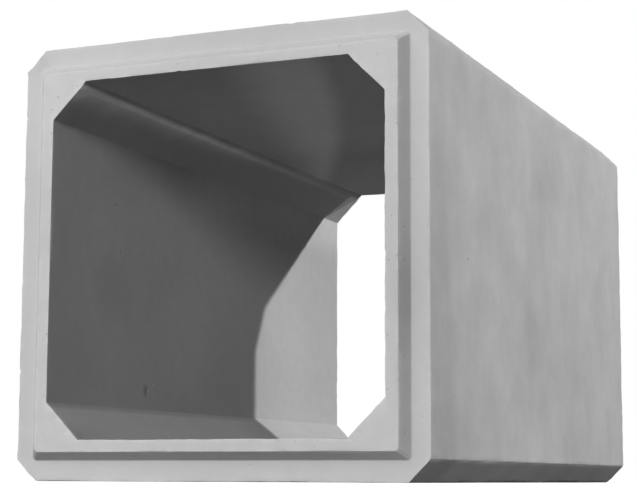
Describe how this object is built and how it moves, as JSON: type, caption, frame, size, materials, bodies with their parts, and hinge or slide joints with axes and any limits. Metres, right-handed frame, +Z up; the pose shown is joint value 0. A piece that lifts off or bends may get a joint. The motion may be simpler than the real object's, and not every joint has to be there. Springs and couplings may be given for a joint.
{
  "type": "box culvert",
  "caption": "Precast concrete box culvert unit: haunched square opening, chamfered outer corners, tapered spigot on the near end and a matching socket on the far end.",
  "frame": {"origin": "middle of the underside of the unit", "axes": "+Z up; Y along the culvert, with the spigot at the -Y end and the socket at the +Y end; X across it"},
  "size_m": [1.47, 2.54, 1.47],
  "materials": {
    "concrete": "pale grey concrete, smooth off a steel mould, matt, with small air holes and rubbed corners"
  },
  "bodies": {
    "root": {"culvert_unit": "concrete"}
  },
  "joints": []
}
